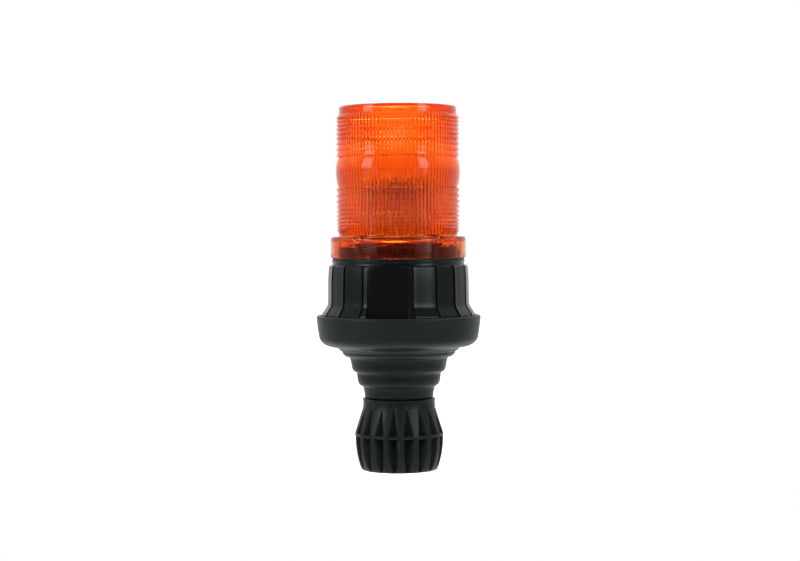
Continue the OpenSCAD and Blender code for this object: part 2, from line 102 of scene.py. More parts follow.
def piece(name, verts, faces, material, body=None, replaces=(), sharp=30.0, bevel=0.0):
    """A mesh piece from points in mm, smooth except over sharp edges, that rides on a CAD body."""
    mesh = bpy.data.meshes.new(name)
    mesh.from_pydata([(x / 1000, y / 1000, z / 1000) for x, y, z in verts], [], faces)
    mesh.shade_smooth()
    mesh.set_sharp_from_angle(angle=math.radians(sharp))
    mesh.materials.append(material)
    obj = bpy.data.objects.new(name, mesh)
    scene.collection.objects.link(obj)
    if bevel:
        mod = obj.modifiers.new("Edge", "BEVEL")
        mod.width = bevel / 1000
        mod.segments = 2
        mod.limit_method = "ANGLE"
        mod.angle_limit = math.radians(28)
        mod.harden_normals = True
        mod.use_clamp_overlap = True
    if body:
        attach(obj, body)
    if replaces:
        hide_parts(*replaces)
    return obj


def polar(r, degrees, z):
    """A point at an angle round the front, counted to the right from -Y."""
    a = math.radians(degrees - 90)
    return (r * math.cos(a), r * math.sin(a), z)


def ring_faces(rows, columns, wrap_rows):
    """Quads between rows of points that each close on themselves."""
    faces = []
    last = rows if wrap_rows else rows - 1
    for i in range(last):
        for k in range(columns):
            a = i * columns
            b = ((i + 1) % rows) * columns
            n = (k + 1) % columns
            faces.append((a + k, a + n, b + n, b + k))
    return faces


def lathe(profile, columns):
    """Points and faces of an open profile of (r, z) turned round Z."""
    verts = [polar(r, 360 * k / columns, z) for r, z in profile for k in range(columns)]
    return verts, ring_faces(len(profile), columns, False)


def join(*parts):
    verts, faces = [], []
    for v, f in parts:
        base = len(verts)
        verts += v
        faces += [tuple(base + i for i in face) for face in f]
    return verts, faces


def fillet(a, b, c, radius, steps):
    """The corner b of the path a-b-c as a quadratic curve between points radius away from it."""
    def toward(p, q):
        d = math.dist(p, q)
        t = min(radius, d * 0.49) / d
        return (p[0] + (q[0] - p[0]) * t, p[1] + (q[1] - p[1]) * t)
    s, e = toward(b, a), toward(b, c)
    out = []
    for i in range(steps + 1):
        t = i / steps
        out.append(tuple((1 - t) ** 2 * s[j] + 2 * t * (1 - t) * b[j] + t * t * e[j] for j in (0, 1)))
    return out


def rounded(path, radii, steps):
    """An open profile with each corner between its ends rounded by its own radius."""
    out = []
    for i, p in enumerate(path):
        if 0 < i < len(path) - 1:
            out += fillet(path[i - 1], p, path[i + 1], radii[i], steps)
        else:
            out.append(p)
    return out


def block(x0, y0, z0, x1, y1, z1):
    v = [(x, y, z) for z in (z0, z1) for y in (y0, y1) for x in (x0, x1)]
    f = [(0, 2, 3, 1), (4, 5, 7, 6), (0, 1, 5, 4), (2, 6, 7, 3), (0, 4, 6, 2), (1, 3, 7, 5)]
    return v, f


def moved(part, degrees=0.0, dx=0.0, dz=0.0):
    c, s = math.cos(math.radians(degrees)), math.sin(math.radians(degrees))
    return [(x * c - y * s + dx, x * s + y * c, z + dz) for x, y, z in part[0]], part[1]


def tube(path, radius, sides):
    """A round tube along points in mm, closed at its ends."""
    pts = [Vector(p) for p in path]
    verts, faces = [], []
    side = None
    for i, p in enumerate(pts):
        t = (pts[min(i + 1, len(pts) - 1)] - pts[max(i - 1, 0)]).normalized()
        ref = Vector((0, 1, 0)) if side is None else side
        a = (ref - t * ref.dot(t)).normalized()
        side = a
        b = t.cross(a)
        for k in range(sides):
            q = 2 * math.pi * k / sides
            verts.append(tuple(p + radius * (math.cos(q) * a + math.sin(q) * b)))
    faces = ring_faces(len(pts), sides, False)
    faces.append(tuple(reversed(range(sides))))
    faces.append(tuple(range(len(verts) - sides, len(verts))))
    return verts, faces


def catmull(points, steps):
    """A smooth curve through the points."""
    out = []
    n = len(points) - 1
    for i in range(n):
        a, b, c, d = (Vector(points[j]) for j in (max(i - 1, 0), i, i + 1, min(i + 2, n)))
        for s in range(steps):
            t = s / steps
            out.append(0.5 * (2 * b + (c - a) * t + (2 * a - 5 * b + 4 * c - d) * t * t
                              + (3 * b - a - 3 * c + d) * t ** 3))
    out.append(Vector(points[-1]))
    return out


def mix(points, x):
    """Straight interpolation in a list of (x, y)."""
    for (x0, y0), (x1, y1) in zip(points, points[1:]):
        if x <= x1:
            return y0 + (y1 - y0) * (x - x0) / (x1 - x0)
    return points[-1][1]


def bump01(x, half):
    """1 at 0, falling smoothly to 0 at half."""
    t = max(0.0, 1 - abs(x) / half)
    return t * t * (3 - 2 * t)


def angle_from(a, b):
    """The turn from b to a, within half a turn either way."""
    return (a - b + 180) % 360 - 180


# ------------------------------------------------------------------ materials


class Mat:
    """A procedural material in object coordinates, in metres."""

    def __init__(self, name):
        self.mat = bpy.data.materials.new(name)
        self.mat.use_nodes = True
        self.tree = self.mat.node_tree
        self.shader = self.tree.nodes["Principled BSDF"]
        self.coords = self.node("ShaderNodeTexCoord").outputs["Object"]

    def node(self, kind, **props):
        n = self.tree.nodes.new(kind)
        for k, v in props.items():
            setattr(n, k, v)
        return n

    def link(self, a, b):
        self.tree.links.new(a, b)

    def set(self, **values):
        for k, v in values.items():
            self.shader.inputs[k.replace("_", " ")].default_value = v
        return self

    def mapping(self, scale):
        m = self.node("ShaderNodeMapping")
        m.inputs["Scale"].default_value = scale
        self.link(self.coords, m.inputs["Vector"])
        return m.outputs["Vector"]

    def noise(self, scale, detail=3.0, rough=0.5, stretch=None, distortion=0.0):
        n = self.node("ShaderNodeTexNoise")
        n.inputs["Scale"].default_value = scale
        n.inputs["Detail"].default_value = detail
        n.inputs["Roughness"].default_value = rough
        n.inputs["Distortion"].default_value = distortion
        self.link(self.mapping(stretch) if stretch else self.coords, n.inputs["Vector"])
        return n.outputs["Fac"]

    def ramp(self, fac, stops):
        r = self.node("ShaderNodeValToRGB")
        els = r.color_ramp.elements
        while len(els) > 1:
            els.remove(els[-1])
        els[0].position, els[0].color = stops[0][0], stops[0][1]
        for pos, col in stops[1:]:
            els.new(pos).color = col
        self.link(fac, r.inputs["Fac"])
        return r.outputs["Color"]

    def span(self, fac, lo, hi, a=0.0, b=1.0):
        m = self.node("ShaderNodeMapRange")
        for k, v in (("From Min", a), ("From Max", b), ("To Min", lo), ("To Max", hi)):
            m.inputs[k].default_value = v
        self.link(fac, m.inputs["Value"])
        return m.outputs["Result"]

    def math(self, op, a, b):
        m = self.node("ShaderNodeMath", operation=op)
        for i, v in enumerate((a, b)):
            if isinstance(v, (int, float)):
                m.inputs[i].default_value = v
            else:
                self.link(v, m.inputs[i])
        return m.outputs[0]

    def blend(self, fac, a, b):
        m = self.node("ShaderNodeMix", data_type="RGBA")
        for sock, v in ((m.inputs[0], fac), (m.inputs[6], a), (m.inputs[7], b)):
            if hasattr(v, "links"):
                self.link(v, sock)
            else:
                sock.default_value = v
        return m.outputs[2]

    def edges(self, lo=0.52, hi=0.6):
        """1 on raised edges."""
        return self.span(self.node("ShaderNodeNewGeometry").outputs["Pointiness"], 0.0, 1.0, lo, hi)

    def bumps(self, *layers):
        """Stacks height layers given as (height, strength, distance in m)."""
        normal = None
        for height, strength, distance in layers:
            b = self.node("ShaderNodeBump")
            b.inputs["Strength"].default_value = strength
            b.inputs["Distance"].default_value = distance
            self.link(height, b.inputs["Height"])
            if normal:
                self.link(normal, b.inputs["Normal"])
            normal = b.outputs["Normal"]
        self.link(normal, self.shader.inputs["Normal"])
        return self

    def colour(self, output):
        self.link(output, self.shader.inputs["Base Color"])
        return self

    def rough(self, output):
        self.link(output, self.shader.inputs["Roughness"])
        return self


def grey(v, tint=(1.0, 1.0, 1.0)):
    return (v * tint[0], v * tint[1], v * tint[2], 1.0)


COOL = (0.84, 0.99, 1.0, 1.0)


def moulded(name, dark, light, rough_lo, rough_hi, grain, grain_depth, edge=0.0, tint=(1, 1, 1)):
    """Moulded black plastic: cloudy tone, fine grain, and slightly paler rubbed edges."""
    m = Mat(name)
    cloud = m.noise(55.0, 4.0, 0.6)
    speck = m.noise(900.0, 2.0, 0.6)
    tone = m.ramp(m.math("ADD", m.math("MULTIPLY", cloud, 0.7), m.math("MULTIPLY", speck, 0.3)),
                  [(0.35, grey(dark, tint)), (0.68, grey(light, tint))])
    if edge:
        worn = m.math("MULTIPLY", m.edges(), m.span(m.noise(240.0, 3.0), 0.2, 1.0, 0.35, 0.7))
        tone = m.blend(worn, tone, grey(edge, tint))
    m.colour(tone)
    m.rough(m.span(m.noise(130.0, 4.0, 0.65), rough_lo, rough_hi, 0.3, 0.7))
    m.bumps((m.noise(grain, 2.0, 0.5), 0.35, grain_depth), (m.noise(38.0, 2.0), 0.12, 0.00015))
    m.set(Specular_Tint=COOL)
    return m


def metal(name, colour, rough_lo, rough_hi, stretch=(1, 1, 14)):
    m = Mat(name)
    m.set(Metallic=1.0)
    streak = m.noise(500.0, 3.0, 0.6, stretch)
    dark = tuple(c * 0.78 for c in colour[:3]) + (1.0,)
    m.colour(m.ramp(streak, [(0.3, dark), (0.7, colour)]))
    m.rough(m.span(streak, rough_lo, rough_hi, 0.3, 0.7))
    m.bumps((streak, 0.2, 0.00002))
    return m


def knob_nylon():
    m = moulded("knob_nylon", 0.0048, 0.0074, 0.32, 0.42, 3000.0, 0.000012, 0.017, (0.80, 1.0, 1.04))
    m.set(Specular_IOR_Level=0.33)
    return m.mat


def boot_rubber():
    m = Mat("boot_rubber")
    cloud = m.noise(42.0, 5.0, 0.62, None, 0.4)
    dust = m.noise(1500.0, 2.0, 0.7)
    tone = m.ramp(cloud, [(0.3, (0.0050, 0.0066, 0.0070, 1)), (0.72, (0.0078, 0.0100, 0.0106, 1))])
    bloom = m.span(dust, 0.0, 0.35, 0.52, 0.8)
    m.colour(m.blend(bloom, tone, (0.010, 0.0125, 0.013, 1)))
    m.rough(m.span(m.noise(90.0, 4.0, 0.6), 0.36, 0.48, 0.3, 0.7))
    m.set(Specular_IOR_Level=0.38, Specular_Tint=COOL)
    m.bumps((m.noise(2200.0, 2.0, 0.5), 0.3, 0.00003), (m.noise(60.0, 3.0, 0.5), 0.2, 0.0003))
    return m.mat


def housing_plastic():
    m = moulded("housing_plastic", 0.0010, 0.0020, 0.25, 0.33, 2400.0, 0.000005, 0.012, (0.92, 1.0, 1.0))
    m.set(Specular_IOR_Level=0.48)
    return m.mat


def lens_amber():
    """Clear tinted plastic: a light tint at its surfaces and the rest of its colour through its depth."""
    m = Mat("lens_amber")
    cloud = m.noise(30.0, 2.0)
    m.colour(m.ramp(cloud, [(0.3, (1.0, 0.345, 0.075, 1)), (0.7, (1.0, 0.38, 0.09, 1))]))
    m.set(IOR=1.5, Transmission_Weight=1.0)
    m.rough(m.span(m.noise(160.0, 3.0), 0.01, 0.04, 0.3, 0.7))
    m.bumps((m.noise(70.0, 2.0), 0.1, 0.0002))
    haze = m.node("ShaderNodeBsdfTranslucent")
    haze.inputs["Color"].default_value = (1.0, 0.12, 0.01, 1)
    cloudy = m.node("ShaderNodeMixShader")
    m.link(m.span(m.noise(45.0, 3.0), 0.05, 0.08, 0.3, 0.7), cloudy.inputs[0])
    m.link(m.shader.outputs[0], cloudy.inputs[1])
    m.link(haze.outputs[0], cloudy.inputs[2])
    m.link(cloudy.outputs[0], m.tree.nodes["Material Output"].inputs["Surface"])
    depth = m.node("ShaderNodeVolumeAbsorption")
    depth.inputs["Color"].default_value = (0.99, 0.6, 0.08, 1)
    depth.inputs["Density"].default_value = 80.0
    m.link(depth.outputs["Volume"], m.tree.nodes["Material Output"].inputs["Volume"])
    return m.mat


def plain_rubber(name, tone):
    return moulded(name, tone * 0.75, tone * 1.3, 0.5, 0.7, 2200.0, 0.00003).mat


def wire(name, colour):
    m = Mat(name)
    n = m.noise(220.0, 3.0)
    dark = tuple(c * 0.7 for c in colour[:3]) + (1.0,)
    m.colour(m.ramp(n, [(0.3, dark), (0.7, colour)]))
    m.rough(m.span(n, 0.3, 0.45, 0.3, 0.7))
    m.bumps((m.noise(1500.0), 0.15, 0.00002))
    return m.mat


def board(name, colour, trace):
    """Solder mask with faint tracks under it."""
    m = Mat(name)
    tracks = m.node("ShaderNodeTexBrick")
    tracks.inputs["Scale"].default_value = 90.0
    tracks.inputs["Mortar Size"].default_value = 0.03
    tracks.inputs["Color1"].default_value = (0, 0, 0, 1)
    tracks.inputs["Color2"].default_value = (0.15, 0.15, 0.15, 1)
    tracks.inputs["Mortar"].default_value = (1, 1, 1, 1)
    m.link(m.coords, tracks.inputs["Vector"])
    m.colour(m.blend(m.math("MULTIPLY", tracks.outputs["Color"], 0.5), colour, trace))
    m.rough(m.span(m.noise(300.0), 0.22, 0.4, 0.3, 0.7))
    m.bumps((tracks.outputs["Color"], 0.2, 0.00004))
    return m.mat


def led_gold():
    m = Mat("led_plastic")
    m.colour(m.ramp(m.noise(900.0), [(0.3, (0.75, 0.55, 0.16, 1)), (0.7, (0.9, 0.75, 0.3, 1))]))
    m.set(Coat_Weight=0.6, Coat_Roughness=0.1)
    m.rough(m.span(m.noise(500.0), 0.3, 0.5, 0.3, 0.7))
    return m.mat


MATS = {
    "knob_nylon": knob_nylon(),
    "boot_rubber": boot_rubber(),
    "housing_plastic": housing_plastic(),
    "lens_amber": lens_amber(),
    "ring_acetal": moulded("ring_acetal", 0.5, 0.62, 0.4, 0.5, 2500.0, 0.00002).mat,
    "tube_nylon": moulded("tube_nylon", 0.012, 0.022, 0.45, 0.6, 2000.0, 0.00003, 0.05).mat,
    "carrier_plastic":
        moulded("carrier_plastic", 0.55, 0.7, 0.45, 0.6, 2200.0, 0.00002, 0, (1.0, 0.93, 0.76)).mat,
    "contact_brass": metal("contact_brass", (0.78, 0.58, 0.26, 1), 0.22, 0.36).mat,
    "spring_steel": metal("spring_steel", (0.6, 0.6, 0.61, 1), 0.25, 0.4).mat,
    "sleeve_rubber": plain_rubber("sleeve_rubber", 0.02),
    "seal_rubber": plain_rubber("seal_rubber", 0.012),
    "lead_red": wire("lead_red", (0.5, 0.025, 0.015, 1)),
    "lead_black": wire("lead_black", (0.012, 0.012, 0.012, 1)),
    "cover_plastic": moulded("cover_plastic", 0.007, 0.012, 0.4, 0.55, 2400.0, 0.00002, 0.03).mat,
    "screw_steel": metal("screw_steel", (0.66, 0.66, 0.67, 1), 0.25, 0.4, (6, 6, 1)).mat,
    "board_green": board("board_green", (0.008, 0.09, 0.035, 1), (0.03, 0.2, 0.08, 1)),
    "board_white": board("board_white", (0.72, 0.72, 0.7, 1), (0.6, 0.6, 0.55, 1)),
    "capacitor_sleeve":
        moulded("capacitor_sleeve", 0.012, 0.02, 0.2, 0.3, 900.0, 0.00001, 0, (0.6, 0.8, 2.6)).mat,
    "ferrite": moulded("ferrite", 0.02, 0.045, 0.55, 0.7, 1800.0, 0.00004).mat,
    "chip_plastic": moulded("chip_plastic", 0.01, 0.02, 0.45, 0.6, 2600.0, 0.00002).mat,
    "pedestal_aluminium":
        metal("pedestal_aluminium", (0.86, 0.86, 0.86, 1), 0.4, 0.55).set(Metallic=0.15).mat,
    "led_plastic": led_gold(),
}

# Every CAD node takes the finish of its own slot; some are replaced by finer pieces below
slot_of = {s["node"]: s["material_slot"] for s in frame["record"]["subparts"]}
for name, obj in nodes.items():
    obj.data.materials.clear()
    obj.data.materials.append(MATS[slot_of[name]])

# ------------------------------------------------------------------ clamp knob

RIBS = 18
PITCH = 360 / RIBS
CORE_R = 22.9
RING_Z = 22.6
RIM_R = RING_R - 0.15
RIB_TURN = 2.5
LAND_R, LAND_DEG, RIB_FOOT_DEG = 29.2, 1.9, 9.7
MOUTH_R = 13.2
BORE_R = 17.05
BORE_Z = 2.6


def knob_radius(z):
    """Height to radius of the ribs' lands."""
    return mix([(0, 23.0), (0.35, 23.8), (1.1, 24.4), (2.2, 24.95), (3.6, 25.45), (6, 26.1), (9, 26.85),
                (12.5, 27.4), (16, 27.8), (RING_Z - 1, RIM_R), (RING_Z + 1, RIM_R), (39.8, 22.95),
                (41, 22.85), (43.8, 22.85), (45.0, 23.1), (KNOB_H, 22.7)], z)


def rib_columns(radius):
    """One rib's points at that height as (radius, angle from the rib's centre)."""
    a = (CORE_R * math.cos(math.radians(RIB_FOOT_DEG)), CORE_R * math.sin(math.radians(RIB_FOOT_DEG)))
    b = (LAND_R * math.cos(math.radians(LAND_DEG)), LAND_R * math.sin(math.radians(LAND_DEG)))

    def at(t):
        x, y = a[0] + (b[0] - a[0]) * t, a[1] + (b[1] - a[1]) * t
        return math.hypot(x, y), math.degrees(math.atan2(y, x))
    lo, hi = 0.0, 1.0
    for _ in range(30):
        mid = (lo + hi) / 2
        lo, hi = (mid, hi) if at(mid)[0] < radius else (lo, mid)
    edge = lo if radius > CORE_R else 0.0
    wall = [at(edge * f) for f in (0.0, 0.34, 0.67, 1.0)]
    if radius <= CORE_R:
        wall = [(radius, d) for _, d in wall]
        floor = radius
    else:
        floor = CORE_R - 0.05
    half = [(radius, 0.0), (radius, wall[3][1] * 0.55), wall[3], wall[2], wall[1], wall[0]]
    left = [(r, -d) for r, d in reversed(half[1:])]
    return [(floor, -PITCH / 2)] + left + half


def knob_mesh():
    rows = []
    ref = rib_columns(23.0)

    def plain(r, z, pattern):
        rows.append([polar(r, RIB_TURN + i * PITCH + d, z) for i in range(RIBS) for _, d in pattern])

    def ribbed(z):
        columns = rib_columns(knob_radius(z))
        rows.append([polar(r, RIB_TURN + i * PITCH + d, z) for i in range(RIBS) for r, d in columns])

    for r in (MOUTH_R, 18.0, 22.2):
        plain(r, 0.0, ref)
    below = [0, 0.18, 0.4, 0.75, 1.2, 2.0, 3.0, 4.2, 5.6, 7.2, 9, 11, 13, 15, 17, 19, 20.6, RING_Z - 0.95]
    above = [RING_Z + 0.95, 25, 27, 29, 31, 33, 35, 36.6, 37.8, 38.7, 39.4, 40.2, 41.2, 42.6, 43.8, 44.5,
             45.0, 45.3, KNOB_H]
    for z in below:
        ribbed(z)
    pattern = rib_columns(RIM_R)
    for dz, r in ((-0.9, RING_R - 0.35), (-0.6, RING_R - 0.08), (0, RING_R), (0.6, RING_R - 0.08),
                  (0.9, RING_R - 0.35)):
        plain(r, RING_Z + dz, pattern)
    for z in above:
        ribbed(z)
    for r, z in ((22.3, KNOB_H), (19.5, KNOB_H), (17.3, KNOB_H), (BORE_R, KNOB_H - 0.3), (BORE_R, 24.0),
                 (BORE_R, BORE_Z), (13.4, BORE_Z), (MOUTH_R, 2.4)):
        plain(r, z, ref)
    n = len(rows[0])
    return [p for row in rows for p in row], ring_faces(len(rows), n, True)


v, f = knob_mesh()
piece("clamp_knob_grip", v, f, MATS["knob_nylon"], "knob", ("clamp_knob",), 32, 0.22)

# ------------------------------------------------------------------ flexible boot

SPLIT_Z = BOOT_Z + 20.1
FLEX_LOW = BOOT_Z + 10.2
FLEX_HIGH = BOOT_Z + 31.0


def boot_outside():
    """The moulding's outline from its foot up, as [radius, height above the foot, corner rounding]."""
    return [(21.6, -0.6, 0.5), (21.8, 0.8, 0.8), (22.3, 4.2, 1.2), (23.0, 6.6, 0.7), (24.9, 7.3, 1.4),
            (26.3, 9.9, 2.0), (26.7, 15.2, 1.0), (29.1, 16.4, 1.2), (29.9, 18.4, 1.4), (30.4, 22.0, 1.6),
            (31.3, 24.9, 0.8), (34.4, 25.9, 1.2), (35.8, 27.6, 0.9), (36.1, 28.9, 0.35), (37.2, 29.2, 0.8),
            (38.7, 31.0, 1.0), (40.4, 31.5, 1.6), (46.4, 32.6, 3.6), (50.0, 35.9, 3.4), (50.7, 39.6, 3.0),
            (51.5, 45.0, 2.5), (CUP_R, CUP_Z - BOOT_Z - 1.2, 0.5)]


def boot_profile():
    pts = boot_outside()
    path = [(r, BOOT_Z + h) for r, h, _ in pts]
    outer = rounded(path, [q for _, _, q in pts], 5)
    outer[0:1] = [(21.2, BOOT_Z - 0.6), (21.5, BOOT_Z - 0.48)]
    outer[-1:] = [(CUP_R, CUP_Z - 1.0), (CUP_R - 0.12, CUP_Z - 0.35), (CUP_R - 0.5, CUP_Z)]
    inner = [(CUP_R - 2.5, CUP_Z), (CUP_R - 3.0, CUP_Z - 0.5), (48.75, CUP_Z - 8), (48.6, BOOT_Z + 34.8),
             (35.2, BOOT_Z + 34.8), (34.6, BOOT_Z + 31.4), (32.6, BOOT_Z + 31.2), (32.0, BOOT_Z + 28.2),
             (27.4, BOOT_Z + 27.6), (27.0, BOOT_Z + 19.4), (23.6, BOOT_Z + 18.6), (23.1, BOOT_Z + 10.0),
             (17.2, BOOT_Z + 10.0), (17.1, BOOT_Z - 0.6)]
    return outer, inner


def densify(path, step):
    """Adds points so that no span is longer than step."""
    out = [path[0]]
    for p, q in zip(path, path[1:]):
        n = max(1, math.ceil(math.dist(p, q) / step))
        out += [(p[0] + (q[0] - p[0]) * i / n, p[1] + (q[1] - p[1]) * i / n) for i in range(1, n + 1)]
    return out


def cut_at(path, z, keep_low):
    """The part of a path below or above a height, with a point at the cut."""
    out = []
    for p, q in zip(path, path[1:] + [None]):
        inside = (p[1] <= z) == keep_low
        if inside:
            out.append(p)
        if q is not None and ((p[1] <= z) != (q[1] <= z)):
            t = (z - p[1]) / (q[1] - p[1])
            out.append((p[0] + (q[0] - p[0]) * t, z))
    return out


outer, inner = boot_profile()
outer, inner = densify(outer, 1.2), densify(inner, 2.0)
low_profile = cut_at(inner, SPLIT_Z, True) + cut_at(outer, SPLIT_Z, True)
high_profile = cut_at(outer, SPLIT_Z, False) + cut_at(inner, SPLIT_Z, False)
for name, profile, a, b, z0, z1 in (("boot_lower", low_profile, "mount", "boot_link", FLEX_LOW, SPLIT_Z),
                                    ("boot_upper", high_profile, "boot_link", "head", SPLIT_Z, FLEX_HIGH)):
    v, f = lathe(profile, 192)
    obj = piece(name, v, f, MATS["boot_rubber"], sharp=50)
    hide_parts("flex_boot")
    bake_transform(obj)

# ------------------------------------------------------------------ housing

PANELS = RIBS
GROOVE_PHASE = 11.0
WIDE_D = 42.75
WIDE_W = 25.8
WIDE_CENTRES = [GROOVE_PHASE - PITCH + 120 * k for k in range(3)]
FOOT_R = 48.4
FLARE_Z = CUP_Z + 0.7
CREASE_Z = FLARE_Z + 5.9
PANEL_TOP = high("lens_seal") - 4.4
COVER_R = 45.7
WALL_IN = 41.2
SEAL_R = 38.0
COLLAR_IN = 35.5
WIRE_HOLE_R = 29.0


def housing_radius(z):
    return mix([(FOOT_Z, FOOT_R), (CUP_Z - 1, 48.5), (FLARE_Z, 48.75), (CREASE_Z - 0.5, 45.3),
                (CREASE_Z + 0.6, 44.85), (CREASE_Z + 3, 44.7), (PANEL_TOP - 8, 44.5),
                (PANEL_TOP - 1.2, 43.95), (PANEL_TOP - 0.35, 43.6), (PANEL_TOP, 42.9)], z)


def housing_columns():
    """Angles round the housing with what each is: [degrees, kind, middle of its panel]."""
    cols = []
    side = math.degrees(math.atan2(WIDE_W / 2, WIDE_D))
    i = 0
    while i < PANELS:
        start = GROOVE_PHASE + i * PITCH
        wide = any(abs(angle_from(start + PITCH, c)) < 1 for c in WIDE_CENTRES)
        width = 2 * PITCH if wide else PITCH
        centre = start + width / 2
        cols += [(start, "floor", 0), (start + 0.95, "floor", 0), (start + 1.35, "land", 0)]
        if wide:
            cols += [(centre - side - 0.06, "brink", centre)]
            cols += [(centre + side * t, "flat", centre) for t in (-1, -0.8, -0.4, 0, 0.4, 0.8, 1)]
            cols += [(centre + side + 0.06, "brink", centre)]
        else:
            cols += [(centre + d, "panel", centre) for d in (-7.5, -5, -2.5, 0, 2.5, 5, 7.5)]
        cols += [(start + width - 1.35, "land", 0), (start + width - 0.95, "floor", 0)]
        i += 2 if wide else 1
    return cols


def housing_point(d, kind, centre, z):
    big = housing_radius(z)
    if kind == "floor" and z >= CUP_Z - 2:
        return polar(big - 1.2, d, z)
    if kind == "panel" and z >= CUP_Z - 2:
        r = big * math.cos(math.radians(PITCH / 2)) / math.cos(math.radians(d - centre))
        return polar(r + (big - r) * 0.35, d, z)
    if kind in ("flat", "brink") and z >= CUP_Z - 2:
        along = WIDE_D * math.tan(math.radians(d - centre))
        depth = math.sqrt(big * big - along * along)
        if kind == "flat":
            depth = min(WIDE_D, depth)
        x, y, _ = polar(depth, centre, z)
        a = math.radians(centre)
        return (x + along * math.cos(a), y + along * math.sin(a), z)
    return polar(min(big, FOOT_R) if z < CUP_Z - 2 else big, d, z)


def housing_mesh():
    cols = housing_columns()
    rows = []

    def plain(r, z):
        rows.append([polar(r, d, z) for d, _, _ in cols])

    plain(COVER_R, FOOT_Z)
    plain(48.3, FOOT_Z)
    for z in [FOOT_Z + 0.3, CUP_Z - 6, CUP_Z - 3, CUP_Z - 1.5, CUP_Z, FLARE_Z - 0.2, FLARE_Z + 0.2,
              FLARE_Z + 1.5, FLARE_Z + 3, FLARE_Z + 4.5, CREASE_Z - 0.5, CREASE_Z + 0.1, CREASE_Z + 0.6,
              CREASE_Z + 3, CREASE_Z + 7, CREASE_Z + 11, CREASE_Z + 15, CREASE_Z + 19, PANEL_TOP - 3.4,
              PANEL_TOP - 2.1, PANEL_TOP - 1.2, PANEL_TOP - 0.6, PANEL_TOP - 0.25, PANEL_TOP]:
        rows.append([housing_point(d, kind, centre, z) for d, kind, centre in cols])
    for r, z in ((42.5, PANEL_TOP + 0.05), (41.9, PANEL_TOP + 0.1), (41.75, PANEL_TOP + 0.5),
                 (41.75, PANEL_TOP + 1.7), (41.95, PANEL_TOP + 2.0), (42.1, PANEL_TOP + 2.6),
                 (42.0, NECK_Z - 0.15), (41.8, NECK_Z), (38.3, NECK_Z), (SEAL_R, NECK_Z + 0.3),
                 (SEAL_R, COLLAR_Z - 0.4), (37.6, COLLAR_Z), (35.9, COLLAR_Z), (COLLAR_IN, COLLAR_Z - 0.4),
                 (COLLAR_IN, COLLAR_Z - 3.7), (WIRE_HOLE_R, COLLAR_Z - 3.7), (WIRE_HOLE_R, COLLAR_Z - 8),
                 (36.0, COLLAR_Z - 9.5), (41.0, PANEL_TOP - 4), (WALL_IN, CREASE_Z + 3),
                 (WALL_IN, high("base_cover") - 10), (COVER_R, low("base_cover") + 5.5)):
        plain(r, z)
    n = len(cols)
    return [p for row in rows for p in row], ring_faces(len(rows), n, True)


def sector(r0, r1, start, end, bottom, top, columns=16):
    """A solid over an arc, with its top and bottom heights given as functions of the angle."""
    rows = []
    for i in range(columns + 1):
        d = start + (end - start) * i / columns
        z0, z1 = bottom(d), top(d)
        rows.append([polar(r0, d, z0), polar(r1, d, z0), polar(r1, d, z1), polar(r0, d, z1)])
    verts = [p for row in rows for p in row]
    faces = []
    for i in range(columns):
        a, b = 4 * i, 4 * (i + 1)
        for k in range(4):
            n = (k + 1) % 4
            faces.append((a + k, b + k, b + n, a + n))
    faces.append((0, 1, 2, 3))
    e = 4 * columns
    faces.append((e + 3, e + 2, e + 1, e))
    return verts, faces


LUG_END, LUG_ARC = -4.0, 26.0
parts = [housing_mesh()]
for k in range(3):
    end = LUG_END + 120 * k
    parts.append(sector(37.0, 39.9, end - LUG_ARC, end, lambda d: SKIRT_Z + 4.3,
                        lambda d, e=end: COLLAR_Z + 1.2 - (e - d) * 0.13))
    parts.append(sector(37.0, 39.9, end - LUG_ARC, end - LUG_ARC + 1.6, lambda d: SKIRT_Z + 0.4,
                        lambda d: SKIRT_Z + 4.6, 2))
v, f = join(*parts)
piece("housing_shell", v, f, MATS["housing_plastic"], "head", ("housing",), 24, 0.16)

# ------------------------------------------------------------------ lens

FLUTES = 98
FLUTE_STEPS = (-1.0, -0.72, -0.4, 0.0, 0.4, 0.72)
BELT_Z = LED_Z + 2.5
BELT_HALF = 9.9
EQUATOR = 1.2
LENS_R = 39.05
PRISM_D = 1.2
SKIRT_R = 42.8
SKIRT_TOP = SKIRT_Z + 13.7
LENS_IN = 36.0
SKIRT_IN = 40.5
NOTCHES = [37.0 + 72 * k for k in range(5)]


def prism_start(i):
    """Distance of prism i from the belt's edge; each prism is a little narrower than the one before."""
    return 3.9 * (1 - 0.925 ** i) / 0.075


